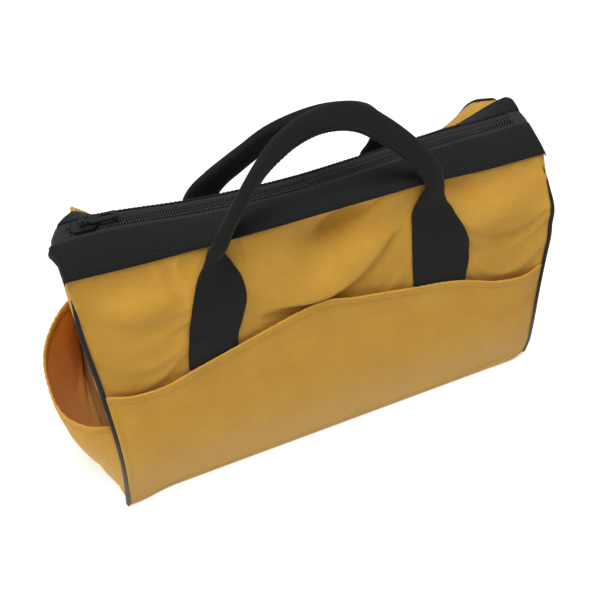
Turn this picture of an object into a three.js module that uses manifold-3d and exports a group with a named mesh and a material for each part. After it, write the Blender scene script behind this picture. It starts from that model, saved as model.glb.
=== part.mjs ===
// Zippered canvas tool bag with two webbing handles.
// Millimetres, +Z up, X along the bag, the front faces -Y, origin on the floor under the base's centre.
import * as THREE from 'three';
import { mergeVertices } from 'three/addons/utils/BufferGeometryUtils.js';
import Module from 'manifold-3d';

const wasm = await Module();
wasm.setup();

// The body of the bag
const bagLength = 400;
const baseDepth = 170;
const topDepth = 91;
const wallHeight = 207;
const roofRise = 4;
const backHeight = 182;
const backTopInset = 40;
const backTurnDrop = 24;
const swellClear = 2;
const swellHeight = 150;
const frontLeftSwell = 3;
const frontRightSwell = 17;
const backLeftSwell = 15;
const backRightSwell = 27;
const canvas = 2;
const gap = 0.3;
const baseCornerRadius = 4;
const boardThickness = 3;
const boardMargin = 7;
const pipingDiameter = 5;
const pipingProud = 1;

// The patch pockets on the front and back
const pocketEdgeHeight = 102;
const pocketMiddleHeight = 133;
const pocketWaveHalf = 165;
const pocketRoom = 9;
const pocketMouthRoom = 7;
const pocketMouthFrom = 90;
const pocketSeam = 0.7;
const pocketFullAt = 34;
const pocketSideRamp = 28;

// The pouches on the two ends
const pouchHeight = 82;
const pouchBulge = 31;
const pouchFullness = 3.5;

// The top: webbing bands either side of a coil zip
const bandThickness = 2;
const bandInnerEdge = 11;
const tapeThickness = 1.2;
const coilHeight = 3;
const coilInner = 1.3;
const coilOuter = 5.5;
const zipEndInset = 10.3;
const tabDrop = 20;
const tabThickness = 1.5;

// The zip's slider and its pull
const sliderLength = 18;
const sliderWidth = 14.6;
const sliderPlate = 1.6;
const sliderWeb = 2;
const sliderFlange = 1.2;
const sliderParkInset = 24;
const earThickness = 1.2;
const earSpread = 5.4;
const earLength = 5;
const pullPinRadius = 0.9;
const pullBoreRadius = 1.25;
const pullBarrelRadius = 2;
const pullLength = 26;
const pullWidth = 9;
const pullThickness = 1.4;
const pullHoleWidth = 4;
const pullHoleLength = 9;

// The handles: flat webbing tails that fold into a narrow grip
const webbingWidth = 50;
const webbingThickness = 2.5;
const foldEdge = 1.2;
const gripWidth = 25;
const gripThickness = 8;
const tailSpacing = 206;
const stitchHeight = 140;
const tailBottom = 80;
const neckWidth = 21;
const widthTaperFrom = 28;
const widthTaperTo = 56;
const handleStations = 44;
const frontHandle = { side: -1, apexInset: 20, apexHeight: 266, necks: [-91, 91], neckRise: 62, shift: 12 };
const backHandle = { side: 1, apexInset: 14, apexHeight: 255, necks: [-76, 96], neckRise: 48, shift: 22 };

// Worked out from the sizes above
const halfLength = bagLength / 2;
const floorTop = canvas + gap;
const wallLean = (baseDepth - topDepth) / 2 / wallHeight;
const pipingRadius = pipingDiameter / 2;
const pipingInset = pipingRadius - pipingProud;
const panelEnd = halfLength - pipingInset - pipingRadius - gap;
const endPanelInset = pipingInset + pipingRadius + gap;
const halfTop = topDepth / 2;
const swellFrom = (tailSpacing + webbingWidth) / 2 + swellClear;
const ridgeHeight = wallHeight + roofRise;
const zipHeight = ridgeHeight + gap + bandThickness / 2;
const tapeInner = coilOuter + gap;
const tapeOuter = bandInnerEdge - gap;
const zipHalf = halfLength - zipEndInset;

// The back wall is slack: it stops lower than the front one and turns in at its top.
const frontWall = {
  side: -1,
  height: wallHeight,
  topHalf: halfTop,
  turnDrop: 0,
  leftSwell: frontLeftSwell,
  rightSwell: frontRightSwell,
};
const backWall = {
  side: 1,
  height: backHeight,
  topHalf: backTopInset,
  turnDrop: backTurnDrop,
  leftSwell: backLeftSwell,
  rightSwell: backRightSwell,
};

function halfDepth(z) {
  return baseDepth / 2 - wallLean * z;
}

// How far a wall swells out of its plane: nothing in the middle of the bag, most at the ends.
function swellAt(wall, x, z) {
  const alongShare = Math.min(1, Math.max(0, (Math.abs(x) - swellFrom) / (panelEnd - swellFrom)));
  const most = x < 0 ? wall.leftSwell : wall.rightSwell;
  const upShare = z < swellHeight
    ? z / swellHeight
    : 1 - ((z - swellHeight) / (wall.height - swellHeight)) ** 2;
  return most * Math.sin(alongShare * Math.PI / 2) * upShare;
}

// How far a wall's outer face stands from the middle, at a height up to its top.
function wallReach(wall, x, z) {
  const turnAt = wall.height - wall.turnDrop;
  const flat = z <= turnAt
    ? halfDepth(z)
    : THREE.MathUtils.lerp(halfDepth(turnAt), wall.topHalf, (z - turnAt) / wall.turnDrop);
  return flat + swellAt(wall, x, z);
}

// The height of the roof line that rises from a wall's top to the edge of the zip.
function roofAt(wall, y) {
  const share = (wall.topHalf - y) / (wall.topHalf - bandInnerEdge);
  return THREE.MathUtils.lerp(wall.height, ridgeHeight, share);
}

function material(color, roughness, metalness = 0) {
  return new THREE.MeshStandardMaterial({ color, roughness, metalness });
}

const yellowCanvas = material('#dba033', 0.9);
const blackWebbing = material('#242426', 0.85);
const blackPiping = material('#1f1f21', 0.8);
const blackTape = material('#202022', 0.85);
const blackNylon = material('#2b2b2e', 0.5);
const blackMetal = material('#1c1c1e', 0.4, 0.7);
const greyBoard = material('#4a4743', 0.8);

const bag = new THREE.Group();

function piece(name, geometry, finish) {
  const mesh = new THREE.Mesh(geometry, finish);
  mesh.name = name;
  bag.add(mesh);
  return mesh;
}

// A closed geometry whose triangles are turned to face out, whichever way they were wound.
function closedBody(positions, triangles) {
  let volume = 0;
  for (const [a, b, c] of triangles) {
    volume += positions[a].dot(new THREE.Vector3().crossVectors(positions[b], positions[c]));
  }
  const wound = volume < 0 ? triangles.map(([a, b, c]) => [a, c, b]) : triangles;
  const geometry = new THREE.BufferGeometry();
  geometry.setAttribute('position', new THREE.Float32BufferAttribute(positions.flatMap((p) => p.toArray()), 3));
  geometry.setIndex(wound.flat());
  geometry.computeVertexNormals();
  return geometry;
}

// Cloth with an outer and an inner face, each a function of u and v from 0 to 1, joined round its rim.
function cloth(outer, inner, columns, rows) {
  const positions = [];
  const triangles = [];
  for (const face of [outer, inner]) {
    for (let j = 0; j <= rows; j += 1) {
      for (let i = 0; i <= columns; i += 1) {
        positions.push(face(i / columns, j / rows));
      }
    }
  }
  const perFace = (columns + 1) * (rows + 1);
  const at = (face, i, j) => face * perFace + j * (columns + 1) + i;
  const quad = (a, b, c, d) => triangles.push([a, b, c], [a, c, d]);
  for (let j = 0; j < rows; j += 1) {
    for (let i = 0; i < columns; i += 1) {
      quad(at(0, i, j), at(0, i + 1, j), at(0, i + 1, j + 1), at(0, i, j + 1));
      quad(at(1, i, j), at(1, i, j + 1), at(1, i + 1, j + 1), at(1, i + 1, j));
    }
  }
  for (let i = 0; i < columns; i += 1) {
    quad(at(0, i, 0), at(1, i, 0), at(1, i + 1, 0), at(0, i + 1, 0));
    quad(at(0, i, rows), at(0, i + 1, rows), at(1, i + 1, rows), at(1, i, rows));
  }
  for (let j = 0; j < rows; j += 1) {
    quad(at(0, 0, j), at(0, 0, j + 1), at(1, 0, j + 1), at(1, 0, j));
    quad(at(0, columns, j), at(1, columns, j), at(1, columns, j + 1), at(0, columns, j + 1));
  }
  return closedBody(positions, triangles);
}

// A solid through rings of points, closed by a fan over each end.
function loft(rings) {
  const sides = rings[0].length;
  const positions = rings.flat();
  const triangles = [];
  for (let r = 0; r + 1 < rings.length; r += 1) {
    for (let k = 0; k < sides; k += 1) {
      const a = r * sides + k;
      const b = r * sides + (k + 1) % sides;
      triangles.push([a, b, b + sides], [a, b + sides, a + sides]);
    }
  }
  const last = (rings.length - 1) * sides;
  for (let k = 1; k + 1 < sides; k += 1) {
    triangles.push([0, k + 1, k], [last, last + k, last + k + 1]);
  }
  return closedBody(positions, triangles);
}

function outline(points) {
  return new THREE.Shape(points.map(([a, b]) => new THREE.Vector2(a, b)));
}

function roundedRectangle(width, height, radius) {
  const w = width / 2;
  const h = height / 2;
  const shape = new THREE.Shape();
  shape.moveTo(-w + radius, -h);
  shape.lineTo(w - radius, -h);
  shape.absarc(w - radius, -h + radius, radius, -Math.PI / 2, 0);
  shape.lineTo(w, h - radius);
  shape.absarc(w - radius, h - radius, radius, 0, Math.PI / 2);
  shape.lineTo(-w + radius, h);
  shape.absarc(-w + radius, h - radius, radius, Math.PI / 2, Math.PI);
  shape.lineTo(-w, -h + radius);
  shape.absarc(-w + radius, -h + radius, radius, Math.PI, 1.5 * Math.PI);
  return shape;
}

function extrudeUp(shape, bottom, top) {
  const geometry = new THREE.ExtrudeGeometry(shape, { depth: top - bottom, bevelEnabled: false, curveSegments: 4 });
  return geometry.translate(0, 0, bottom);
}

// Extrudes an outline drawn in Y and Z along X.
function extrudeAlongX(shape, from, to) {
  const geometry = new THREE.ExtrudeGeometry(shape, { depth: to - from, bevelEnabled: false, curveSegments: 4 });
  const turn = new THREE.Matrix4().makeBasis(
    new THREE.Vector3(0, 1, 0),
    new THREE.Vector3(0, 0, 1),
    new THREE.Vector3(1, 0, 0),
  );
  return geometry.applyMatrix4(turn).translate(from, 0, 0);
}

// Extrudes an outline drawn in X and Z along Y.
function extrudeAlongY(shape, from, to) {
  const geometry = new THREE.ExtrudeGeometry(shape, { depth: to - from, bevelEnabled: false, curveSegments: 6 });
  return geometry.rotateX(Math.PI / 2).translate(0, to, 0);
}

function solid(geometry) {
  const bare = geometry.clone();
  bare.deleteAttribute('normal');
  bare.deleteAttribute('uv');
  const merged = mergeVertices(bare, 1e-4);
  return new wasm.Manifold(new wasm.Mesh({
    numProp: 3,
    vertProperties: new Float32Array(merged.attributes.position.array),
    triVerts: new Uint32Array(merged.index.array),
  }));
}

function geometryOf(manifold) {
  const mesh = manifold.getMesh();
  const geometry = new THREE.BufferGeometry();
  geometry.setAttribute('position', new THREE.BufferAttribute(new Float32Array(mesh.vertProperties), 3));
  geometry.setIndex(new THREE.BufferAttribute(new Uint32Array(mesh.triVerts), 1));
  geometry.computeVertexNormals();
  return geometry;
}

// Base: a canvas panel with a stiff board lying on it.
piece('base_panel', extrudeUp(roundedRectangle(bagLength, baseDepth, baseCornerRadius), 0, canvas), yellowCanvas);
piece(
  'base_board',
  extrudeUp(
    roundedRectangle(bagLength - 2 * boardMargin, baseDepth - 2 * boardMargin, baseCornerRadius),
    floorTop,
    floorTop + boardThickness,
  ),
  greyBoard,
);

// The heights at which a wall has its rows of facets.
function wallHeights(wall) {
  const turnAt = wall.height - wall.turnDrop;
  const upper = [1 / 3, 2 / 3].map((share) => THREE.MathUtils.lerp(swellHeight, wall.height, share));
  const turns = wall.turnDrop > 0 ? [turnAt] : [];
  return [floorTop, swellHeight / 2, swellHeight, ...upper, ...turns, wall.height].sort((a, b) => a - b);
}

// The places along the bag where a wall has its columns of facets: steps over each swell, and some between.
function wallPlaces(middleSteps) {
  const swellSteps = 6;
  const right = Array.from({ length: swellSteps + 1 }, (_, n) => (
    THREE.MathUtils.lerp(swellFrom, panelEnd, n / swellSteps)
  ));
  const between = Array.from({ length: middleSteps - 1 }, (_, n) => (
    swellFrom * (2 * (n + 1) / middleSteps - 1)
  ));
  return [...right.map((x) => -x).reverse(), ...between, ...right];
}

function pick(list, share) {
  return list[Math.round(share * (list.length - 1))];
}

// Front and back panels lean in towards the top.
function wallPanel(name, wall) {
  const heights = wallHeights(wall);
  const places = wallPlaces(1);
  const face = (offset) => (u, v) => {
    const x = pick(places, u);
    const z = pick(heights, v);
    return new THREE.Vector3(x, wall.side * (wallReach(wall, x, z) + offset), z);
  };
  piece(name, cloth(face(0), face(-canvas), places.length - 1, heights.length - 1), yellowCanvas);
}
wallPanel('front_panel', frontWall);
wallPanel('back_panel', backWall);

// End panels: the shape between the pipings, with its roof under the bands.
function endPanel(name, side) {
  const edge = (wall) => {
    const inside = (z) => wallReach(wall, side * halfLength, z) - endPanelInset;
    const eave = inside(wall.height);
    return [
      ...wallHeights(wall).map((z) => [wall.side * inside(z), z]),
      [wall.side * eave, roofAt(wall, eave)],
      [wall.side * bandInnerEdge, ridgeHeight],
    ];
  };
  const section = outline([...edge(backWall), ...edge(frontWall).reverse()]);
  const from = side < 0 ? -halfLength : halfLength - canvas;
  piece(name, extrudeAlongX(section, from, from + canvas), yellowCanvas);
}
endPanel('left_end_panel', -1);
endPanel('right_end_panel', 1);

// Piping: a covered cord down each of the four corner seams.
function piping(name, endSide, wall) {
  const sides = 10;
  const ringAt = (z) => Array.from({ length: sides }, (_, k) => {
    const angle = (k / sides) * 2 * Math.PI;
    return new THREE.Vector3(
      endSide * (halfLength - pipingInset) + pipingRadius * Math.cos(angle),
      wall.side * (wallReach(wall, endSide * halfLength, z) - pipingInset) + pipingRadius * Math.sin(angle),
      z,
    );
  });
  piece(name, loft(wallHeights(wall).map(ringAt)), blackPiping);
}
piping('front_left_piping', -1, frontWall);
piping('front_right_piping', 1, frontWall);
piping('back_left_piping', -1, backWall);
piping('back_right_piping', 1, backWall);

// Patch pockets stand off the wall above their bottom seam, and their top edge is a long wave.
function pocketEdge(x) {
  const reach = Math.min(1, Math.abs(x) / pocketWaveHalf);
  const wave = 0.5 + 0.5 * Math.cos(Math.PI * reach);
  return pocketEdgeHeight + (pocketMiddleHeight - pocketEdgeHeight) * wave;
}

function patchPocket(name, wall) {
  const places = wallPlaces(18);
  const roomAt = (x, z) => {
    const sideShare = Math.min(1, (panelEnd - Math.abs(x)) / pocketSideRamp);
    const heightShare = Math.min(1, (z - floorTop) / pocketFullAt);
    const mouthShare = Math.max(0, (z - pocketMouthFrom) / (pocketMiddleHeight - pocketMouthFrom));
    const full = THREE.MathUtils.lerp(pocketRoom, pocketMouthRoom, mouthShare);
    return pocketSeam + full * Math.sin(sideShare * Math.PI / 2) * Math.sin(heightShare * Math.PI / 2);
  };
  const face = (offset) => (u, v) => {
    const x = pick(places, u);
    const z = floorTop + v * (pocketEdge(x) - floorTop);
    return new THREE.Vector3(x, wall.side * (wallReach(wall, x, z) + roomAt(x, z) + offset), z);
  };
  piece(name, cloth(face(canvas), face(0), places.length - 1, 9), yellowCanvas);
}
patchPocket('front_pocket', frontWall);
patchPocket('back_pocket', backWall);

// End pockets are pouches that stand open.
function endPouch(name, side) {
  const face = (offset) => (u, v) => {
    const z = floorTop + v * (pouchHeight - floorTop);
    const across = 2 * u - 1;
    const wall = across < 0 ? frontWall : backWall;
    const y = across * (wallReach(wall, side * halfLength, z) - endPanelInset);
    const swell = pouchBulge * (1 - (1 - v) ** pouchFullness) * (1 - across * across) ** 0.8;
    return new THREE.Vector3(side * (halfLength + gap + swell + offset), y, z);
  };
  piece(name, cloth(face(canvas), face(0), 18, 9), yellowCanvas);
}
endPouch('left_end_pocket', -1);
endPouch('right_end_pocket', 1);

// The top: a webbing band, a zip tape and a coil on each side of the middle.
function topHalf(prefix, wall) {
  const side = wall.side;
  const seam = new THREE.Vector2(wall.topHalf, wall.height + gap);
  const inner = new THREE.Vector2(bandInnerEdge, ridgeHeight + gap);
  const up = new THREE.Vector2(inner.y - seam.y, seam.x - inner.x).setLength(bandThickness);
  const corners = [seam, inner, inner.clone().add(up), seam.clone().add(up)];
  const band = outline(corners.map((corner) => [side * corner.x, corner.y]));
  piece(`${prefix}_band`, extrudeAlongX(band, -halfLength, halfLength), blackWebbing);
  const tape = outline([
    [side * tapeOuter, zipHeight - tapeThickness / 2],
    [side * tapeInner, zipHeight - tapeThickness / 2],
    [side * tapeInner, zipHeight + tapeThickness / 2],
    [side * tapeOuter, zipHeight + tapeThickness / 2],
  ]);
  piece(`${prefix}_zip_tape`, extrudeAlongX(tape, -zipHalf, zipHalf), blackTape);
  const coil = outline([
    [side * coilInner, zipHeight - coilHeight / 4],
    [side * coilInner, zipHeight + coilHeight / 4],
    [side * (coilInner + coilHeight / 4), zipHeight + coilHeight / 2],
    [side * (coilOuter - coilHeight / 4), zipHeight + coilHeight / 2],
    [side * coilOuter, zipHeight + coilHeight / 4],
    [side * coilOuter, zipHeight - coilHeight / 4],
    [side * (coilOuter - coilHeight / 4), zipHeight - coilHeight / 2],
    [side * (coilInner + coilHeight / 4), zipHeight - coilHeight / 2],
  ]);
  piece(`${prefix}_zip_coil`, extrudeAlongX(coil, -zipHalf, zipHalf), blackNylon);
}
topHalf('front', frontWall);
topHalf('back', backWall);

// A tab covers each end of the zip and folds down over the end panel.
function zipTab(name, side) {
  const inner = zipHalf + gap;
  const outer = halfLength + gap + tabThickness;
  const bottom = ridgeHeight + gap;
  const profile = outline([
    [side * inner, bottom],
    [side * (halfLength + gap), bottom],
    [side * (halfLength + gap), bottom - tabDrop],
    [side * outer, bottom - tabDrop],
    [side * outer, bottom + tabThickness],
    [side * inner, bottom + tabThickness],
  ]);
  piece(name, extrudeAlongY(profile, -tapeOuter, tapeOuter), blackTape);
}
zipTab('left_zip_tab', -1);
zipTab('right_zip_tab', 1);

// Slider: two plates joined by a web between the coils, with ears and a pin for the pull.
const sliderX = -halfLength + sliderParkInset;
const plateUnderside = zipHeight + coilHeight / 2 + gap;
const plateTop = plateUnderside + sliderPlate;
const pinHeight = plateTop + pullBarrelRadius + gap;

function sliderGeometry() {
  const plan = roundedRectangle(sliderLength, sliderWidth, sliderWidth / 4);
  const upper = solid(extrudeUp(plan, plateUnderside, plateTop));
  const lowerTop = zipHeight - coilHeight / 2 - gap;
  const lower = solid(extrudeUp(plan, lowerTop - sliderPlate, lowerTop));
  const web = solid(new THREE.BoxGeometry(sliderLength / 2, sliderWeb, plateTop - lowerTop + sliderPlate)
    .translate(0, 0, (plateTop + lowerTop - sliderPlate) / 2));
  let body = upper.add(lower).add(web);
  const flangeBottom = zipHeight + tapeThickness / 2 + gap;
  for (const side of [-1, 1]) {
    const flange = new THREE.BoxGeometry(sliderLength / 2, sliderFlange, plateTop - flangeBottom)
      .translate(0, side * (sliderWidth - sliderFlange) / 2, (plateTop + flangeBottom) / 2);
    const ear = new THREE.BoxGeometry(earLength, earThickness, pinHeight + pullPinRadius - plateUnderside)
      .translate(0, side * (earSpread + earThickness) / 2, (pinHeight + pullPinRadius + plateUnderside) / 2);
    body = body.add(solid(flange)).add(solid(ear));
  }
  const pin = new THREE.CylinderGeometry(pullPinRadius, pullPinRadius, earSpread + earThickness, 12)
    .translate(0, 0, pinHeight);
  return geometryOf(body.add(solid(pin)));
}
piece('zip_slider', sliderGeometry(), blackMetal).position.x = sliderX;

// Pull: a flat tab with a barrel that turns on the slider's pin, lying towards the middle of the bag.
function pullGeometry() {
  const barrelLength = earSpread - 2 * gap;
  const barrel = solid(new THREE.CylinderGeometry(pullBarrelRadius, pullBarrelRadius, barrelLength, 16));
  const neck = solid(new THREE.BoxGeometry(pullWidth, barrelLength, pullThickness)
    .translate(pullWidth / 2, 0, 0));
  const plate = extrudeUp(
    roundedRectangle(pullLength - pullBarrelRadius - earLength / 2, pullWidth, pullWidth / 3),
    -pullThickness / 2,
    pullThickness / 2,
  );
  plate.translate((pullLength + pullBarrelRadius + earLength / 2) / 2, 0, 0);
  const hole = extrudeUp(
    roundedRectangle(pullHoleLength, pullHoleWidth, pullHoleWidth / 2.5),
    -pullThickness,
    pullThickness,
  );
  hole.translate(pullLength - pullHoleLength, 0, 0);
  const bore = solid(new THREE.CylinderGeometry(pullBoreRadius, pullBoreRadius, 2 * barrelLength, 16));
  return geometryOf(barrel.add(neck).add(solid(plate)).subtract(solid(hole)).subtract(bore));
}
piece('zip_pull', pullGeometry(), blackMetal).position.set(sliderX, 0, pinHeight);

// Handles. The guide is the line that the webbing follows in Y and Z: up the wall and in over the top.
function handleGuide({ side, apexInset, apexHeight }) {
  const shoulder = wallHeight - gripThickness;
  const clear = gap + gripThickness / 2;
  const start = [halfDepth(stitchHeight) + gap + webbingThickness / 2, stitchHeight];
  const upWall = [halfDepth(shoulder) + clear + bandThickness, shoulder];
  const pastTop = [halfTop + clear + 1.6 * bandThickness, wallHeight + gripThickness / 2];
  const apex = [apexInset, apexHeight];
  const over = [
    apex[0] + 0.5 * (pastTop[0] - apex[0]),
    apex[1] - 0.55 * (apex[1] - pastTop[1]),
  ];
  const points = [start, upWall, pastTop, over, apex].map(([y, z]) => new THREE.Vector3(0, side * y, z));
  return new THREE.CatmullRomCurve3(points);
}

// The webbing's width and thickness at a rise above its stitch line: flat, then folded into the grip.
function webbingSection(rise) {
  const taper = THREE.MathUtils.smoothstep(rise, widthTaperFrom, widthTaperTo);
  const swell = THREE.MathUtils.smoothstep(rise, widthTaperTo, 1.4 * widthTaperTo);
  const width = webbingWidth + (neckWidth - webbingWidth) * taper + (gripWidth - neckWidth) * swell;
  const flat = Math.min(1, foldEdge / webbingThickness + rise / webbingThickness);
  const folded = Math.min(1, rise / widthTaperTo);
  return [width, webbingThickness * flat + (gripThickness - webbingThickness) * folded];
}

function handle(name, shape) {
  const { side, necks, neckRise, shift } = shape;
  const neckMiddle = (necks[0] + necks[1]) / 2;
  const neckHalf = (necks[1] - necks[0]) / 2;
  const guide = handleGuide(shape);
  const reach = guide.getLength();
  const tail = tailSpacing / 2;
  const leg = (end, neck) => [
    [end * tail, 0],
    [end * tail, 0.12 * neckRise],
    [end * tail, 0.3 * neckRise],
    [(end * tail + neck) / 2, 0.7 * neckRise],
  ];
  const arch = [-1, -0.75, -0.5, -0.25, 0, 0.25, 0.5, 0.75, 1].map((w) => [
    neckMiddle + shift * (1 - w * w) + neckHalf * w,
    reach - (reach - neckRise) * w * w,
  ]);
  const route = new THREE.CatmullRomCurve3(
    [...leg(-1, necks[0]), ...arch, ...leg(1, necks[1]).reverse()]
      .map(([x, rise]) => new THREE.Vector3(x, rise, 0)),
  );
  const centreAt = (t) => {
    const { x, y: rise } = route.getPointAt(t);
    const onGuide = guide.getPointAt(Math.min(1, Math.max(0, rise / reach)));
    return new THREE.Vector3(x, onGuide.y, onGuide.z);
  };
  const corners = [[1, -0.4], [1, 0.4], [0.8, 1], [-0.8, 1], [-1, 0.4], [-1, -0.4], [-0.8, -1], [0.8, -1]];
  const rings = [];
  for (let n = 0; n <= handleStations; n += 1) {
    const t = n / handleStations;
    const rise = route.getPointAt(t).y;
    const guideTangent = guide.getTangentAt(Math.min(1, Math.max(0, rise / reach)));
    const outward = new THREE.Vector3(0, side * guideTangent.z, -side * guideTangent.y);
    const step = 0.5 / handleStations;
    const along = centreAt(Math.min(1, t + step)).sub(centreAt(Math.max(0, t - step))).normalize();
    const across = new THREE.Vector3().crossVectors(outward, along).normalize();
    const [width, thickness] = webbingSection(rise);
    const centre = centreAt(t);
    rings.push(corners.map(([a, b]) => centre.clone()
      .addScaledVector(across, a * width / 2)
      .addScaledVector(outward, b * thickness / 2)));
  }
  piece(name, loft(rings), blackWebbing);
}
handle('front_handle', frontHandle);
handle('back_handle', backHandle);

// Tails: flat webbing sewn to the wall, from behind the pocket up to the handle's stitch line.
function tail(name, wallSide, endSide) {
  const wallDirection = new THREE.Vector2(wallLean, -1).normalize();
  const pointAt = (drop, offset) => {
    const z = stitchHeight + drop * wallDirection.y;
    const y = halfDepth(stitchHeight) + gap + webbingThickness / 2 + drop * wallDirection.x;
    return [wallSide * (y - offset * wallDirection.y), z + offset * wallDirection.x];
  };
  const length = (stitchHeight - tailBottom) / -wallDirection.y;
  const edge = foldEdge / 2 + gap;
  const section = outline([
    pointAt(edge, foldEdge / 2),
    pointAt(edge, -foldEdge / 2),
    pointAt(edge + webbingThickness, -webbingThickness / 2),
    pointAt(length, -webbingThickness / 2),
    pointAt(length, webbingThickness / 2),
    pointAt(edge + webbingThickness, webbingThickness / 2),
  ]);
  const middle = endSide * tailSpacing / 2;
  piece(name, extrudeAlongX(section, middle - webbingWidth / 2, middle + webbingWidth / 2), blackWebbing);
}
tail('front_left_tail', -1, -1);
tail('front_right_tail', -1, 1);
tail('back_left_tail', 1, -1);
tail('back_right_tail', 1, 1);

export default bag;
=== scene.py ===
import math

import bpy
import numpy as np
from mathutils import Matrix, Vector


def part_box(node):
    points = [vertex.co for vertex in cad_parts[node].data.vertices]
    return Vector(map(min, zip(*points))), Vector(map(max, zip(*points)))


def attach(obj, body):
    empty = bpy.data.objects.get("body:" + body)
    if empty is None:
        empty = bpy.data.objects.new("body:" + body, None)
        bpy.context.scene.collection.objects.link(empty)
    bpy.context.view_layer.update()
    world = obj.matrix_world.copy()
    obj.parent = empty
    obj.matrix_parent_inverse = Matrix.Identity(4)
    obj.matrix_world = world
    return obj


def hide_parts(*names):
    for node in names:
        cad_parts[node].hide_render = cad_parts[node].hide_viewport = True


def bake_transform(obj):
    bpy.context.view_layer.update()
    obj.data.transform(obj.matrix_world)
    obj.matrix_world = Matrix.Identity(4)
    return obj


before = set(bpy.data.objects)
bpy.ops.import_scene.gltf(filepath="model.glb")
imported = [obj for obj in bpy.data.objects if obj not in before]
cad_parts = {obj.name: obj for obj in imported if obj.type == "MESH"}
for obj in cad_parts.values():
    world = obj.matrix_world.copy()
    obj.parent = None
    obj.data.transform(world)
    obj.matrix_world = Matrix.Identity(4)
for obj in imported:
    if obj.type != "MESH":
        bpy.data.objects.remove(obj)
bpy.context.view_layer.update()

# Lengths in this script are millimetres and turn into metres where a mesh is made.
MM = 0.001

# The bag, with its main sizes read from the frame
half_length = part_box("front_band")[1].x / MM
base_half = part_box("base_panel")[1].y / MM
front_seam_reach = -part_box("front_panel")[1].y / MM + 2
canvas = 1.3
piping_radius = 2.0
edge_inset = 1.2
bottom = 1.6
stitch_pitch = 3.6
stitch_length = 2.7
stitch_radius = 0.32
tip_share = 0.55
cloth_frames = 18
both_ends = (("left", -1), ("right", 1))


def through(points, x):
    """A value that changes smoothly with x, through given points (x, value)."""
    places, values = np.array(points, float).T
    return between(places, values, x)


def between(places, values, x):
    """Smooth interpolation at x between rows of values that stand at the given places."""
    x = np.clip(np.asarray(x, float), places[0], places[-1])
    slopes = np.gradient(values, places, axis=0)
    i = np.clip(np.searchsorted(places, x, side="right") - 1, 0, len(places) - 2)
    width = places[i + 1] - places[i]
    t = (x - places[i]) / width
    if values.ndim == 1:
        low, high, from_slope, to_slope = values[i], values[i + 1], slopes[i], slopes[i + 1]
    else:
        column = np.arange(values.shape[1])
        low, high = values[i, column], values[i + 1, column]
        from_slope, to_slope = slopes[i, column], slopes[i + 1, column]
    return (
        (2 * t**3 - 3 * t**2 + 1) * low
        + (t**3 - 2 * t**2 + t) * width * from_slope
        + (3 * t**2 - 2 * t**3) * high
        + (t**3 - t**2) * width * to_slope
    )


def smooth_step(value, start, end):
    t = np.clip((value - start) / (end - start), 0, 1)
    return t * t * (3 - 2 * t)


def hill(x, z, centre, spread, height, turn):
    """A smooth rise of a wall round a centre, wider along one direction, which is turned by an angle."""
    across, up = x - centre[0], z - centre[1]
    c, s = math.cos(math.radians(turn)), math.sin(math.radians(turn))
    along = (across * c + up * s) / spread[0]
    side = (up * c - across * s) / spread[1]
    return height * np.exp(-(along**2 + side**2) / 2)


# The line of the zip, which sags in the middle and sweeps up at the right end
zip_line = [(-202, 211.5), (-188, 212.3), (-165, 212.3), (-90, 205), (0, 203), (50, 206.5), (100, 210.5),
            (150, 213), (176, 213.5), (192, 215), (205, 214.5)]

# How a wall's cloth stands out from the straight line between base and seam: rows are places
# along the bag, columns are shares of the wall's height.
levels = [0, 0.2, 0.4, 0.56, 0.72, 0.82, 0.87, 0.91, 0.955, 1]
front_wall = {
    "side": -1,
    "seam_reach": [(-200, front_seam_reach), (200, front_seam_reach)],
    "seam_height": [(-200, 206.5), (-150, 205), (-60, 205.5), (30, 207.5), (80, 208.5), (140, 206.5),
                    (200, 207)],
    "fullness": {
        -200: [0, 4, 5, 4, 3, 2, 1, 1, 0, 0],
        -140: [0, 2, 3, 6, 11, 12, 9, 5, 2, 0],
        -60: [0, 2, 3, 4, 5, 4, 2, 0, -1, 0],
        20: [0, 2, 3, 3, 4, 2, -2, -4, -4, 0],
        90: [0, 2, 3, 3, 4, 3, 1, 0, -1, 0],
        150: [0, 4, 7, 11, 16, 17, 13, 8, 2, 0],
        200: [0, 6, 10, 14, 18, 17, 12, 8, 3, 0],
    },
    "hills": [
        {"centre": (-44, 164), "spread": (26, 10), "height": 4, "turn": 6},
        {"centre": (30, 183), "spread": (32, 9), "height": 5, "turn": 40},
        {"centre": (4, 183), "spread": (24, 11), "height": -14, "turn": 24},
        {"centre": (118, 190), "spread": (9, 16), "height": -3, "turn": 10},
        {"centre": (150, 178), "spread": (26, 9), "height": 4, "turn": 8},
        {"centre": (154, 147), "spread": (26, 6), "height": -5, "turn": 6},
        {"centre": (-152, 176), "spread": (22, 8), "height": 4, "turn": 14},
        {"centre": (-130, 190), "spread": (2.5, 9), "height": -2, "turn": 12},
        {"centre": (-138, 192), "spread": (3, 9), "height": 1.5, "turn": 20},
        {"centre": (-160, 160), "spread": (34, 4), "height": -2, "turn": -16},
        {"centre": (-150, 140), "spread": (30, 6), "height": 2, "turn": -10},
    ],
    # The fold that hangs over the pocket and runs up to the right tail: its lower lip and how proud it is
    "lip_line": [(-85, 132), (-60, 137), (-5, 136), (16, 143), (39, 158), (52, 168), (72, 173)],
    "lip_height": [(-85, 0), (-62, 5), (-35, 8), (0, 7), (18, 6), (40, 5), (56, 3), (72, 0)],
}
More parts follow.
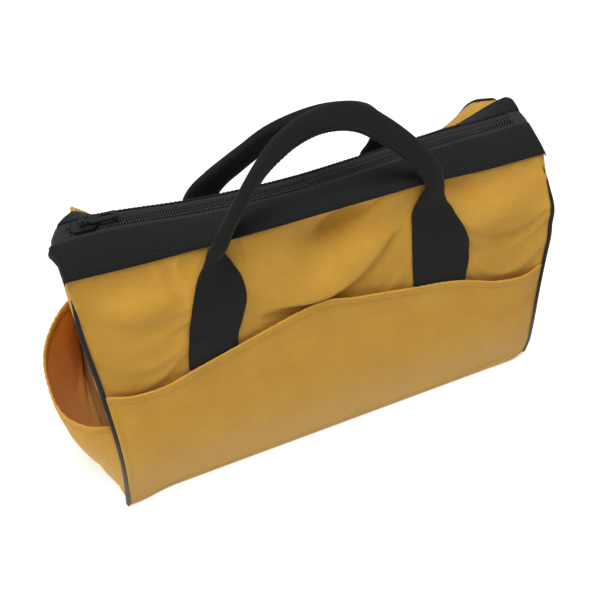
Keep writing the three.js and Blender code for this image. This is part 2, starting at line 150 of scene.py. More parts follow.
back_wall = {
    "side": 1,
    "seam_reach": [(-200, 38), (-120, 39), (120, 39), (150, 38), (170, 36), (186, 34), (204, 33)],
    "seam_height": [(-200, 202), (-190, 198), (-180, 194.5), (-170, 190.5), (-160, 187), (-150, 185),
                    (-135, 183), (-100, 180), (0, 179), (80, 181), (120, 186), (145, 192), (165, 195),
                    (176, 202), (188, 211), (197, 215.5), (204, 217)],
    "fullness": {
        -200: [0, 4, 9, 14, 19, 23, 25, 25, 22, 0],
        -165: [0, 4, 9, 15, 20, 24, 26, 26, 21, 0],
        -130: [0, 3, 7, 12, 15, 16, 16, 15, 10, 0],
        -90: [0, 2, 5, 8, 9, 9, 9, 8, 5, 0],
        0: [0, 2, 4, 7, 8, 8, 7, 6, 4, 0],
        90: [0, 2, 5, 8, 10, 10, 9, 8, 5, 0],
        130: [0, 4, 9, 14, 17, 18, 18, 16, 11, 0],
        165: [0, 7, 14, 20, 25, 27, 26, 24, 17, 0],
        200: [0, 11, 21, 29, 36, 37, 34, 30, 20, 0],
    },
    "hills": [
        {"centre": (-40, 150), "spread": (60, 8), "height": 3, "turn": -10},
        {"centre": (60, 120), "spread": (50, 7), "height": -3, "turn": 14},
    ],
    "lip_line": [(-200, 150), (200, 150)],
    "lip_height": [(-200, 0), (200, 0)],
}
lip_edge = 6.0
lip_depth = 30.0


def seam(wall, x):
    return through(wall["seam_reach"], x), through(wall["seam_height"], x)


def reach_at(wall, x, z):
    """How far a wall's outer face stands from the middle of the bag."""
    x, z = np.broadcast_arrays(np.asarray(x, float), np.asarray(z, float))
    flat_x, flat_z = x.ravel(), z.ravel()
    seam_reach, seam_height = seam(wall, flat_x)
    share = np.clip(flat_z / seam_height, 0, 1)
    places = np.array(sorted(wall["fullness"]), float)
    rows = np.array([through(list(zip(levels, wall["fullness"][place])), share) for place in places])
    reach = base_half + (seam_reach - base_half) * share + between(places, rows, flat_x)
    fade = smooth_step(flat_z, 0, 30) * smooth_step(seam_height - flat_z, 0, 9)
    for one in wall["hills"]:
        reach = reach + fade * hill(flat_x, flat_z, **one)
    above = flat_z - through(wall["lip_line"], flat_x)
    fold = smooth_step(above, 0, lip_edge) * (1 - smooth_step(above, lip_edge, lip_depth))
    reach = reach + through(wall["lip_height"], flat_x) * fold
    return reach.reshape(x.shape)


def end_x(side, z):
    """Where the end of the bag stands: the left one is drawn in a little at half height."""
    if side > 0:
        return half_length + 0 * np.asarray(z, float)
    return -half_length + through([(0, 0), (30, 4), (110, 4), (165, 0.5), (215, 0)], z)


# How far the stiff top is pushed to the right at its two ends, by how far back a point is
left_push = [(-15, 0), (0, 3), (10, 7), (20, 12.6), (30, 19), (45, 24)]
right_push = [(-46, 0), (-24, 4.8), (-14, 8), (0, 12.5), (10, 15.5), (20, 18), (32, 19.5), (40, 12), (52, 5)]


def slumped(points):
    """The bag's own slump: the back of its top is pushed to the right, and the base's corners are
    rounded and spread on the floor."""
    x, y, z = np.asarray(points, float).reshape(-1, 3).T
    lean = through(left_push, y) * smooth_step(-x, 150, 200) * smooth_step(z, 70, 198)
    bulge = through(right_push, y) * smooth_step(x, 160, 205) * smooth_step(z, 150, 208)
    corner = smooth_step(np.abs(x), 184, 200) * smooth_step(np.abs(y), 68, 85) * np.clip(1 - z / 22, 0, 1)
    toe = 5 * smooth_step(-x, 158, 200) * smooth_step(-y, 60, 85) * np.clip(1 - z / 60, 0, 1)
    lift = np.where(x < 0, 0.5, 4.0) * corner
    inward = np.where(x < 0, 0.5, 2.0) * corner
    return np.column_stack([x + lean + bulge - inward * np.sign(x), y - 0.75 * inward * np.sign(y) - toe,
                            z + lift])


def make_mesh(name, points, faces, finishes, loop_uv=None, flat_faces=0, slump=True):
    """A mesh object from points in millimetres, with UVs in metres so that a weave keeps its scale."""
    mesh = bpy.data.meshes.new(name)
    points = slumped(points) if slump else np.asarray(points, float).reshape(-1, 3)
    mesh.from_pydata((points * MM).tolist(), [], faces)
    if loop_uv is not None:
        mesh.uv_layers.new(name="UVMap").data.foreach_set("uv", (np.asarray(loop_uv, float) * MM).ravel())
    for finish in finishes:
        mesh.materials.append(finish)
    rounded = len(mesh.polygons) - flat_faces
    mesh.polygons.foreach_set("use_smooth", [True] * rounded + [False] * flat_faces)
    mesh.update()
    piece = bpy.data.objects.new(name, mesh)
    bpy.context.scene.collection.objects.link(piece)
    return piece


def path_lengths(points, axis):
    """Running length along one axis of a grid of points, averaged over the other."""
    steps = np.linalg.norm(np.diff(points, axis=axis), axis=2).mean(axis=1 - axis)
    return np.concatenate([[0], np.cumsum(steps)])


def grid_sheet(name, points, finish, outward):
    """An open sheet over a grid of points (rows, columns, 3), its faces turned towards outward."""
    rows, columns = points.shape[0] - 1, points.shape[1] - 1
    u, v = path_lengths(points, 1), path_lengths(points, 0)
    normal = np.cross(points[0, 1] - points[0, 0], points[1, 0] - points[0, 0])
    order = [0, 1, 2, 3] if np.dot(normal, outward) > 0 else [0, 3, 2, 1]
    faces, loop_uv = [], []
    for j in range(rows):
        for i in range(columns):
            corners = [(j, i), (j, i + 1), (j + 1, i + 1), (j + 1, i)]
            faces.append([corners[k][0] * (columns + 1) + corners[k][1] for k in order])
            loop_uv += [(u[corners[k][1]], v[corners[k][0]]) for k in order]
    return make_mesh(name, points, faces, [finish], loop_uv)


def faced_grid(piece, rows, columns, outward):
    """A settled sheet's grid of points in millimetres, and the way that its face looks at each."""
    points = np.array([v.co for v in piece.data.vertices]).reshape(rows + 1, columns + 1, 3) / MM
    normal = np.cross(np.gradient(points, axis=1), np.gradient(points, axis=0))
    normal /= np.linalg.norm(normal, axis=2, keepdims=True)
    normal *= np.where(normal @ np.asarray(outward, float) < 0, -1, 1)[..., None]
    return points, normal


def under_edge(grid, depth, lift):
    """A line along a sheet, a given depth under its top edge and lifted off its face."""
    points, normal = grid
    line = []
    for k in range(points.shape[1]):
        column, face = points[::-1, k], normal[::-1, k]
        run = np.concatenate([[0], np.cumsum(np.linalg.norm(np.diff(column, axis=0), axis=1))])
        place = [np.interp(depth, run, column[:, axis]) for axis in range(3)]
        way = np.array([np.interp(depth, run, face[:, axis]) for axis in range(3)])
        top = (column[0] - column[1]) / max(run[1], 1e-6)
        line.append(place + top * max(0.0, -depth) + way / np.linalg.norm(way) * lift)
    return np.array(line)


def hem(name, grid, outward):
    """The turned edge of a pocket: a rounded top, a second layer inside and a row of stitches."""
    fold = [(1.2, 0.06), (0.2, 0.06), (-0.35, -0.15), (-0.6, -0.6), (-0.6, -1.3), (-0.3, -1.8), (0.4, -2.0),
            (hem_depth, -1.95), (hem_depth + 0.4, -1.6), (hem_depth, -1.0)]
    ring = np.stack([under_edge(grid, depth, lift) for depth, lift in fold], axis=1)
    dress(sweep(f"{name}_hem", ring, cotton_canvas, slump=False), "root", "canvas")
    row = under_edge(grid, hem_depth - 1.5, -0.05)
    dress(stitching(f"{name}_stitches", [(row, outward)], yellow_thread, slump=False), "root", "canvas")


def thicken(piece, thickness):
    """Gives a sheet its thickness, inwards from its outer face."""
    modifier = piece.modifiers.new("thickness", "SOLIDIFY")
    modifier.thickness = thickness * MM
    modifier.offset = -1


def sweep(name, rings, finish, slump=True):
    """A closed solid through rings of points (stations, ring, 3), with flat ends."""
    stations, sides = rings.shape[:2]
    centre = rings.mean(axis=(0, 1))
    closed = np.concatenate([rings, rings[:, :1]], axis=1) - centre
    a, b, c = closed[:-1, :-1], closed[:-1, 1:], closed[1:, :-1]
    turned = np.einsum("ijk,ijk->", a, np.cross(b, c)) < 0
    around, along = path_lengths(closed, 1), path_lengths(rings, 0)
    faces, loop_uv = [], []
    for r in range(stations - 1):
        for k in range(sides):
            corners = [(r, k), (r, k + 1), (r + 1, k + 1), (r + 1, k)]
            if turned:
                corners.reverse()
            faces.append([row * sides + col % sides for row, col in corners])
            loop_uv += [(around[col], along[row]) for row, col in corners]
    for row, backwards in ((0, not turned), (stations - 1, turned)):
        cap = [(row, k) for k in range(sides)]
        if backwards:
            cap.reverse()
        faces.append([r * sides + k for r, k in cap])
        loop_uv += [(around[k], along[r]) for r, k in cap]
    return make_mesh(name, rings, faces, [finish], loop_uv, 2, slump)


def tube_rings(path, radius, sides):
    """Rings round a path, drawn in at both ends so that they close as a rounded tip."""
    path = np.asarray(path, float)
    tangent = np.gradient(path, axis=0)
    tangent /= np.linalg.norm(tangent, axis=1)[:, None]
    side = np.cross(tangent, [0.0, 1.0, 0.0])
    weak = np.linalg.norm(side, axis=1) < 0.3
    side[weak] = np.cross(tangent[weak], [1.0, 0.0, 0.0])
    side /= np.linalg.norm(side, axis=1)[:, None]
    up = np.cross(side, tangent)
    angle = np.linspace(0, 2 * math.pi, sides, endpoint=False)
    size = radius * np.ones(len(path))
    size[[0, -1]] *= tip_share
    return path[:, None] + size[:, None, None] * (
        np.cos(angle)[None, :, None] * side[:, None] + np.sin(angle)[None, :, None] * up[:, None]
    )


def resample(path, step):
    """Points a given step apart along a path."""
    path = np.asarray(path, float)
    run = np.concatenate([[0], np.cumsum(np.linalg.norm(np.diff(path, axis=0), axis=1))])
    count = max(2, int(round(run[-1] / step)) + 1)
    places = np.linspace(0, run[-1], count)
    return np.stack([np.interp(places, run, path[:, k]) for k in range(3)], axis=1)


def stitching(name, lines, finish, slump=True):
    """Rows of thread stitches: each line is its points and the direction that it faces."""
    sides = 6
    angle = np.linspace(0, 2 * math.pi, sides, endpoint=False)
    profile = [(-0.5, 0.35), (-0.38, 1), (0.38, 1), (0.5, 0.35)]
    points, faces = [], []
    for path, facing in lines:
        places = resample(path, stitch_pitch)
        facing = np.asarray(facing, float)
        for a, b in zip(places[:-1], places[1:]):
            along = (b - a) / np.linalg.norm(b - a)
            across = np.cross(along, facing)
            across /= np.linalg.norm(across)
            up = np.cross(across, along)
            start = len(points)
            for share, size in profile:
                middle = (a + b) / 2 + along * share * stitch_length + up * stitch_radius * 0.3
                for t in angle:
                    points.append(middle + stitch_radius * size * (math.cos(t) * across + math.sin(t) * up))
            for r in range(len(profile) - 1):
                for k in range(sides):
                    n = (k + 1) % sides
                    faces.append([start + r * sides + k, start + r * sides + n,
                                  start + (r + 1) * sides + n, start + (r + 1) * sides + k])
            last = start + (len(profile) - 1) * sides
            faces.append([start + k for k in reversed(range(sides))])
            faces.append([last + k for k in range(sides)])
    return make_mesh(name, points, faces, [finish], slump=slump)


def settle(piece, sewn, growth, push, weight, limit):
    """Lets a sheet of canvas find its own folds. Sewn says how firmly each point is held, growth is the
    share of spare cloth, push the pressure from inside, weight the share of gravity, and limit the
    millimetres that a point may move."""
    rest = np.array([v.co for v in piece.data.vertices])
    group = piece.vertex_groups.new(name="sewn")
    for index, value in enumerate(sewn):
        if value > 0:
            group.add([index], float(value), "REPLACE")
    cloth = piece.modifiers.new("cloth", "CLOTH")
    cloth.settings.vertex_group_mass = "sewn"
    cloth.settings.quality = 6
    cloth.settings.mass = 0.35
    cloth.settings.tension_stiffness = 30
    cloth.settings.compression_stiffness = 30
    cloth.settings.shear_stiffness = 12
    cloth.settings.bending_stiffness = 3
    cloth.settings.shrink_min = -growth
    cloth.settings.use_pressure = push > 0
    cloth.settings.uniform_pressure_force = push
    cloth.settings.effector_weights.gravity = weight
    cloth.point_cache.frame_start = 1
    cloth.point_cache.frame_end = cloth_frames
    scene = bpy.context.scene
    for number in range(1, cloth_frames + 1):
        scene.frame_set(number)
    settled = piece.evaluated_get(bpy.context.evaluated_depsgraph_get()).data
    found = np.array([v.co for v in settled.vertices])
    piece.modifiers.remove(cloth)
    scene.frame_set(1)
    move = found - rest
    distance = np.linalg.norm(move, axis=1)
    limited = limit * MM * np.tanh(distance / (limit * MM))
    move *= (limited / np.maximum(distance, 1e-9))[:, None]
    piece.data.vertices.foreach_set("co", (rest + move).ravel())
    piece.vertex_groups.clear()
    piece.data.update()


def sewn_edges(rows, columns):
    """How firmly each point of a sheet is held, with all four edges sewn down."""
    held = np.zeros((rows + 1, columns + 1))
    held[[0, -1], :] = 1
    held[:, [0, -1]] = 1
    return held


def linear(code):
    """A colour for a shader from an sRGB hex code."""
    values = [int(code[i:i + 2], 16) / 255 for i in (1, 3, 5)]
    return [v / 12.92 if v <= 0.04045 else ((v + 0.055) / 1.055) ** 2.4 for v in values] + [1.0]


def add(tree, kind, inputs=None, **settings):
    """Adds a node: inputs are values, or the sockets that feed it, and settings are its own properties."""
    made = tree.nodes.new(kind)
    for name, value in settings.items():
        setattr(made, name, value)
    for key, value in (inputs or {}).items():
        if isinstance(value, bpy.types.NodeSocket):
            tree.links.new(value, made.inputs[key])
        else:
            made.inputs[key].default_value = value
    return made


def two_tones(tree, value, dark, dark_at, light, light_at):
    """A ramp from a dark colour to a light one, as a value goes from one place to the other."""
    ramp = add(tree, "ShaderNodeValToRGB", {"Fac": value})
    for stop, place, code in zip(ramp.color_ramp.elements, (dark_at, light_at), (dark, light)):
        stop.position = place
        stop.color = linear(code)
    return ramp


def new_material(name):
    material = bpy.data.materials.new(name)
    material.use_nodes = True
    material.node_tree.nodes.clear()
    return material, material.node_tree


no_floor_light_or_dust = ("#000000", 0.0, 100.0)


def woven(name, light, dark, pitch, relief, roughness, sheen, mottle, ribs=1.0, glow=0.0, floor_light_and_dust=no_floor_light_or_dust):
    """Woven cloth: threads pitch apart in millimetres, over and under, ribs times as long as wide.
    Light passes into it by a share, glow, and comes out warmer. The colour mixed in towards the floor is
    given as a colour, how much of it lies at the floor, and the height in millimetres at which it ends: it is
    painted light bounced up off the floor, with dust as well where a finish says so."""
    material, tree = new_material(name)
    place = add(tree, "ShaderNodeTexCoord").outputs["UV"]
    stretched = add(tree, "ShaderNodeMapping", {"Vector": place, "Scale": (1.0, 1.0 / ribs, 1.0)})
    cells = add(tree, "ShaderNodeTexChecker", {"Vector": stretched.outputs[0],
                                               "Scale": 1 / (pitch * MM)})
    wave_scale = 2 * math.pi / (20 * pitch * MM)
    warp, weft = [add(tree, "ShaderNodeTexWave", {"Vector": stretched.outputs[0], "Scale": wave_scale},
                      bands_direction=way, wave_profile="SIN") for way in ("X", "Y")]
    threads = add(tree, "ShaderNodeMix", {"Factor": cells.outputs["Fac"], "A": warp.outputs["Fac"],
                                          "B": weft.outputs["Fac"]}, data_type="FLOAT")
    slub = add(tree, "ShaderNodeTexNoise", {"Vector": place, "Scale": 500.0, "Detail": 2.0})
    cloud = add(tree, "ShaderNodeTexNoise", {"Vector": place, "Scale": 30.0, "Detail": 5.0,
                                             "Roughness": 0.65})
    tone = add(tree, "ShaderNodeMix", {"Factor": mottle, "A": threads.outputs["Result"],
                                       "B": cloud.outputs["Fac"]}, data_type="FLOAT")
    mixed = add(tree, "ShaderNodeMix", {"Factor": 0.2, "A": tone.outputs["Result"],
                                        "B": slub.outputs["Fac"]}, data_type="FLOAT")
    colour = two_tones(tree, mixed.outputs["Result"], dark, 0.2, light, 0.8)
    floor_light_and_dust_colour, floor_light_and_dust_share, floor_light_and_dust_height = floor_light_and_dust
    up = add(tree, "ShaderNodeSeparateXYZ", {0: add(tree, "ShaderNodeTexCoord").outputs["Object"]})
    # Painted light: a paler colour is mixed in towards the floor to stand for light bounced up off the floor,
    # with dust as well on the binding.
    floor_light_and_dust_mask = add(tree, "ShaderNodeMapRange", {
        "Value": up.outputs["Z"], "From Max": floor_light_and_dust_height * MM, "To Min": floor_light_and_dust_share, "To Max": 0.0,
    }, interpolation_type="SMOOTHSTEP")
    floor_lit_and_dusty_colour = add(tree, "ShaderNodeMix", {
        0: floor_light_and_dust_mask.outputs[0], 6: colour.outputs["Color"], 7: linear(floor_light_and_dust_colour),
    }, data_type="RGBA")
    height = add(tree, "ShaderNodeMath", {0: threads.outputs["Result"], 1: slub.outputs["Fac"]},
                 operation="ADD")
    bump = add(tree, "ShaderNodeBump", {"Height": height.outputs[0], "Distance": relief * MM,
                                        "Strength": 1.0})
    shader = add(tree, "ShaderNodeBsdfPrincipled", {
        "Base Color": floor_lit_and_dusty_colour.outputs[2], "Roughness": roughness, "Normal": bump.outputs["Normal"],
        "Sheen Weight": sheen, "Sheen Roughness": 0.5, "Specular IOR Level": 0.25,
        "Subsurface Weight": glow, "Subsurface Radius": (1.0, 0.6, 0.25), "Subsurface Scale": 6.0 * MM,
    })
    add(tree, "ShaderNodeOutputMaterial", {"Surface": shader.outputs[0]})
    return material


# Heavy cotton canvas, plain weave, dyed golden yellow. Its threads are 0.6 mm apart, too fine to show
# here, so they are drawn 1.5 mm apart: the eye gets a matt cloth with a faint grain and soft mottling.
# Towards the floor a pale greyish colour is mixed in: painted bounce light from the white floor.
cotton_canvas = woven("cotton_canvas_plain_weave", "#dfa946", "#c58c32", 1.5, 0.07, 0.9, 0.1, 0.7, glow=0.55,
                      floor_light_and_dust=("#dcc190", 0.25, 80.0))

# Black cotton webbing with ribs across it, drawn 2 mm apart where real ones are 1 mm: dull and dark.
cotton_webbing = woven("cotton_webbing_ribbed", "#191818", "#0f0e0e", 2.0, 0.2, 0.88, 0.06, 0.4, ribs=0.6)

# Black polyester zip tape, a tight plain weave drawn at 1.2 mm where real threads are 0.5 mm apart:
# smoother than the webbing.
polyester_tape = woven("polyester_zip_tape_woven", "#2e2d2e", "#1c1c1d", 1.2, 0.1, 0.75, 0.1, 0.3)

# Black bias binding over the piping cord, threads drawn 1.2 mm apart: a soft edge, paler near the floor,
# partly dust and fading, partly painted floor-bounce light.
bias_binding = woven("cotton_bias_binding", "#292523", "#181615", 1.2, 0.1, 0.85, 0.1, 0.4,
                     floor_light_and_dust=("#7a705f", 0.8, 95.0))

# Spun polyester thread, yellow on the canvas and black on the webbing, twisted 1 mm a turn.
yellow_thread = woven("polyester_thread_yellow", "#e2ac48", "#c08a2c", 1.0, 0.05, 0.6, 0.1, 0.4)
black_thread = woven("polyester_thread_black", "#333132", "#1d1c1c", 1.0, 0.05, 0.6, 0.1, 0.4)


def plain_finish(name, light, dark, roughness, metallic, grain, relief):
    """A moulded, pressed or painted surface with a grain in millimetres that breaks up its gloss."""
    material, tree = new_material(name)
    place = add(tree, "ShaderNodeTexCoord").outputs["Object"]
    noise = add(tree, "ShaderNodeTexNoise", {"Vector": place, "Scale": 1 / (grain * MM), "Detail": 4.0})
    colour = two_tones(tree, noise.outputs["Fac"], dark, 0.3, light, 0.7)
    gloss = add(tree, "ShaderNodeMapRange", {"Value": noise.outputs["Fac"], "To Min": roughness - 0.08,
                                             "To Max": roughness + 0.08})
    bump = add(tree, "ShaderNodeBump", {"Height": noise.outputs["Fac"], "Distance": relief * MM})
    shader = add(tree, "ShaderNodeBsdfPrincipled", {
        "Base Color": colour.outputs["Color"], "Roughness": gloss.outputs[0], "Metallic": metallic,
        "Normal": bump.outputs["Normal"],
    })
    add(tree, "ShaderNodeOutputMaterial", {"Surface": shader.outputs[0]})
    return material


# Nylon coil, extruded and heat-set: smooth, with a low plastic gloss.
nylon_coil = plain_finish("nylon_coil_extruded", "#343436", "#242425", 0.42, 0.0, 2.0, 0.02)

# Die-cast zinc under black stove paint: a hard thin shine, a little worn.
painted_zinc = plain_finish("painted_zinc_die_cast", "#202021", "#141415", 0.42, 0.0, 1.5, 0.02)

# Pressed fibre board: grey-brown, dull, with a fine fibrous grain.
fibre_board = plain_finish("fibre_board_pressed", "#6a645c", "#4d4842", 0.8, 0.0, 1.2, 0.08)


def dress(piece, body, slot, *nodes):
    """The piece rides on a body, if one is given, and the frame's nodes that it stands for are hidden. The
    slot is not used.
    """
    if body:
        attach(piece, body)
    if nodes:
        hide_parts(*nodes)


# Handles: each is one length of webbing, flat where it is sewn down and folded lengthwise into a grip

stitch_height, tail_bottom = 140.0, 80.0
tail_margin = 2.5
scallop_pitch, scallop_depth = 3.2, 0.5

# Flat stretches of a handle on its wall: x, z, width, thickness, lift off the wall, roll in degrees.
# Free stretches: x, y, z, width, thickness, roll. The grip twists where it leaves the left neck.
front_left_tail = [(-109.5, 80, 41, 2.5, 1.3, 0), (-109.5, 112, 41, 2.5, 1.3, 0),
                   (-107, 138, 41, 2.5, 1.3, 0), (-103, 152, 43, 2.6, 1.5, 0), (-99, 166, 43, 3, 2, 0),
                   (-97, 178, 37.5, 4, 3, 0), (-96, 190, 25, 7, 4.5, 10), (-95.5, 200, 14, 10, 6, 30)]
front_grip = [(-93, -56, 208, 11, 11, 50), (-84, -50, 218, 20, 10.5, 66), (-69, -42, 232, 21, 10.5, 68),
              (-46, -31, 250, 21, 10.5, 56), (-24, -23.5, 261, 19, 10.5, 32), (0, -19.5, 267, 19, 10.5, 10),
              (18.5, -19.5, 267.3, 21, 10.5, 0), (35, -22, 263, 21, 10.5, 0), (50, -27.5, 254, 20, 10.5, 0),
              (66, -34.5, 241.5, 19, 10.5, 0), (79, -42.5, 228.5, 18, 10.5, 0),
              (86.5, -49.5, 216, 17, 10.5, 0)]
front_right_tail = [(88.6, 206, 16, 10, 6, 0), (87.5, 196, 24.5, 7, 4.5, 0),
                    (87, 187, 33, 4.5, 3, 0), (89, 175, 40, 3, 2, 0), (92.5, 160, 48, 2.6, 1.5, 0),
                    (95, 147, 52, 2.5, 1.3, 0), (95.3, 120, 49.5, 2.5, 1.3, 0),
                    (95.3, 80, 49.5, 2.5, 1.3, 0)]
back_left_tail = [(-98, 80, 48, 2.5, 1.3, 0), (-98, 138, 48, 2.5, 1.3, 0), (-88, 155, 44, 3, 2, 0),
                  (-77, 169, 37, 4, 3, 0)]
back_grip = [(-69, 54, 181, 30, 8, 0), (-59, 52, 192, 25, 10.5, 0), (-46, 45, 206, 25, 10.5, 0),
             (-33, 37, 220, 25, 10.5, 0), (-17, 26, 238, 24, 10.5, 0), (-2, 19, 247.5, 22, 10.5, 0),
             (16, 14, 253, 21, 10.5, 0), (38, 15, 251, 20, 10.5, 0), (58, 23, 242, 20, 10.5, 0),
             (76, 34, 227, 19, 10.5, 0), (89, 43, 212, 18, 10.5, 0), (96, 50, 200, 16, 9, 0),
             (97, 53, 190, 22, 7, 0), (97.5, 54.5, 181, 35, 4, 0), (101, 56, 169, 43, 3, 0)]
back_right_tail = [(106, 155, 47, 2.6, 1.5, 0), (108, 140, 48, 2.5, 1.3, 0), (108, 80, 48, 2.5, 1.3, 0)]
handle_tails = {-1: (front_left_tail, front_right_tail), 1: (back_left_tail, back_right_tail)}


# Walls


def sunk(wall, side, z):
    """How deep the cord of a corner sinks between its panels, from 0 to 1: not at all at the back right."""
    if wall["side"] < 0:
        return smooth_step(z, 158, 206)
    return smooth_step(z, 166, 188) if side < 0 else 0 * z


def edge_gap(wall, side, z):
    """How far a sheet's edge stops short of the corner seam: nothing where the cord sinks away."""
    return edge_inset * (1 - smooth_step(sunk(wall, side, z), 0.6, 1))


def tail_rows(tail):
    """The heights, middles and widths of a tail's stations, from its bottom up."""
    return np.array(sorted((row[1], row[0], row[2]) for row in tail)).T


def under_tails(wall, x, z):
    """Which points of a wall lie under a handle's flat tails."""
    hidden = np.zeros(x.shape, bool)
    for tail in handle_tails[wall["side"]]:
        heights, middles, widths = tail_rows(tail)
        half = np.interp(z, heights, widths) / 2 + tail_margin
        near = np.abs(x - np.interp(z, heights, middles)) < half
        hidden |= near & (z > tail_bottom - 4) & (z < heights[-1])
    return hidden


def wall_sheet(name, wall, node):
    columns, rows = 140, 84
    u = np.linspace(0, 1, columns + 1)
    share = np.linspace(0, 1, rows + 1)
    x = np.tile(-half_length + 2 * half_length * u, (rows + 1, 1))
    seam_height = through(wall["seam_height"], x)
    z = bottom + share[:, None] * (seam_height - bottom)
    left = end_x(-1, z) + edge_gap(wall, -1, z)
    right = end_x(1, z) - edge_gap(wall, 1, z)
    x = left + (right - left) * u[None, :]
    y = wall["side"] * reach_at(wall, x, z)
    points = np.stack([x, y, z], axis=2)
    piece = grid_sheet(name, points, cotton_canvas, (0, wall["side"], 0))
    sewn = sewn_edges(rows, columns)
    sewn[under_tails(wall, x, z)] = 1
    settle(piece, sewn.ravel(), growth=0.014, push=0.4, weight=0.6, limit=3.0)
    thicken(piece, canvas)
    dress(piece, "root", "canvas", node)


wall_sheet("front_panel_canvas", front_wall, "front_panel")
wall_sheet("back_panel_canvas", back_wall, "back_panel")

# How far each end panel swells, and the pressure from inside while it settles
end_swell = {-1: 1.0, 1: 5.0}
end_push = {-1: 0.0, 1: 0.3}


def end_sheet(name, side, node):
    columns, rows = 40, 60
    across = np.linspace(-1, 1, columns + 1)
    share = np.linspace(0, 1, rows + 1)
    front_reach, front_height = seam(front_wall, side * half_length)
    back_reach, back_height = seam(back_wall, side * half_length)
    ridge = through(zip_line, side * half_length) - 0.6
    top_y = np.where(across < 0, across * front_reach, across * back_reach)
    roof = np.interp(top_y, [-front_reach, -11, 11, back_reach], [front_height, ridge, ridge, back_height])
    z = bottom + share[:, None] * (roof[None, :] - bottom)
    corner = np.full_like(z, side * half_length)
    front, back = [reach_at(wall, corner, np.minimum(z, height)) - edge_gap(wall, side, z)
                   for wall, height in ((front_wall, front_height), (back_wall, back_height))]
    y = np.where(across[None, :] < 0, across[None, :] * front, across[None, :] * back)
    swell = end_swell[side] * (1 - across[None, :] ** 2) * np.sin(np.pi * share[:, None]) ** 0.8
    x = end_x(side, z) + side * (swell - 0.4)
    points = np.stack([x, y, z], axis=2)
    piece = grid_sheet(name, points, cotton_canvas, (side, 0, 0))
    sewn = sewn_edges(rows, columns)
    settle(piece, sewn.ravel(), growth=0.012, push=end_push[side], weight=0.6, limit=3.0)
    thicken(piece, canvas)
    dress(piece, "root", "canvas", node)


for word, side in both_ends:
    end_sheet(f"{word}_end_panel_canvas", side, f"{word}_end_panel")


# Piping down the four corners

# How far a cord stops short of the seam's top, how far it sinks and how much thinner it gets on the way
piping_stop = {("front", -1): 3, ("front", 1): 3, ("back", -1): 13, ("back", 1): 3}
piping_sink, piping_thinning = 1.7, 1.2


def piping(name, wall, side, stop, node):
    """The cord in a corner seam, which sinks between its panels near the top at three of the corners."""
    seam_height = seam(wall, side * half_length)[1]
    z = np.linspace(1.2, seam_height - stop, 110)
    hidden = sunk(wall, side, z)
    reach = reach_at(wall, np.full_like(z, side * half_length), z)
    sink = piping_sink * hidden
    x = end_x(side, z) - side * sink
    path = resample(np.stack([x, wall["side"] * (reach - 0.2 - sink), z], axis=1), 2.5)
    radius = piping_radius - piping_thinning * np.interp(path[:, 2], z, hidden)
    piece = sweep(name, tube_rings(path, radius, 12), bias_binding)
    dress(piece, "root", "piping", node)


for wall_word, wall in (("front", front_wall), ("back", back_wall)):
    for word, side in both_ends:
        corner = f"{wall_word}_{word}_piping"
        piping(f"{corner}_cord", wall, side, piping_stop[wall_word, side], corner)


# Patch pockets

pocket_end_gap = 1.2
pocket_edge = [(-198, 109.5), (-176, 106.5), (-155, 106.8), (-130, 114), (-103, 120.5), (-70, 127.3),
               (-35, 134.7), (-14, 137.4), (8, 132.5), (34, 128), (70, 121.7), (119, 116.6), (152, 108.3),
               (180, 106.4), (198, 110)]
hem_depth = 7.5
# The room in a pocket, and the share of it that is kept at the base and the mouth, for front and back
pocket_room = {-1: (6.5, 0.55), 1: (8.2, 0.85)}


def pocket_point(wall, x, z):
    edge = through(pocket_edge, x)
    side_share = np.clip((half_length - pocket_end_gap - np.abs(x)) / 26, 0, 1)
    height_share = np.clip(z / 40, 0, 1)
    most, least = pocket_room[wall["side"]]
    slack = least + (1 - least) * np.sin(np.pi * np.clip(z / edge, 0, 1))
    room = -0.8 + (most + 1.6) * slack * np.sin(side_share * np.pi / 2) * np.sin(height_share * np.pi / 2)
    calm = reach_at({**wall, "hills": [], "lip_height": [(-200, 0), (200, 0)]}, x, z)
    return np.stack([x, wall["side"] * (calm + canvas + room), z], axis=-1)


def patch_pocket(name, wall, node):
    columns, rows = 120, 40
    u = np.linspace(0, 1, columns + 1)
    x = np.tile((half_length - pocket_end_gap) * (2 * u - 1), (rows + 1, 1))
    z = bottom + np.linspace(0, 1, rows + 1)[:, None] * (through(pocket_edge, x) - bottom)
    left, right = end_x(-1, z) + pocket_end_gap, end_x(1, z) - pocket_end_gap
    x = left + (right - left) * u[None, :]
    facing = (0, wall["side"], 0)
    piece = grid_sheet(name, pocket_point(wall, x, z), cotton_canvas, facing)
    sewn = sewn_edges(rows, columns)
    sewn[-1, :] = 0.7
    settle(piece, sewn.ravel(), growth=0.008, push=0.3, weight=0.8, limit=2.5)
    hem(name, faced_grid(piece, rows, columns, facing), facing)
    thicken(piece, canvas)
    dress(piece, "root", "canvas", node)


patch_pocket("front_pocket_patch", front_wall, "front_pocket")
patch_pocket("back_pocket_patch", back_wall, "back_pocket")


# End pouches

# How far the mouth of each pouch stands out from its end panel
pouch_reach = {-1: 36.5, 1: 27.0}
# The height of a mouth at its front end, and how much it rises to its back end
mouth_low, mouth_rise = 80.5, 14


def pouch_point(side, across, share):
    mouth = mouth_low + mouth_rise * ((across + 1) / 2) ** 1.8
    z = bottom + share * (mouth - bottom)
    front = reach_at(front_wall, np.full_like(z, side * half_length), z) - edge_inset
    back = reach_at(back_wall, np.full_like(z, side * half_length), z) - edge_inset
    y = np.where(across < 0, across * front, across * back)
    skewed = across + 0.14 * (1 - across**2)
    swell = pouch_reach[side] * (1 - (1 - share) ** 2.3) * (1 - np.abs(skewed) ** 2.8) ** 0.8
    hug = 0.9 - 1.9 * (1 - share) ** 8
    return np.stack([end_x(side, z) + side * (hug + swell), y, z], axis=-1)


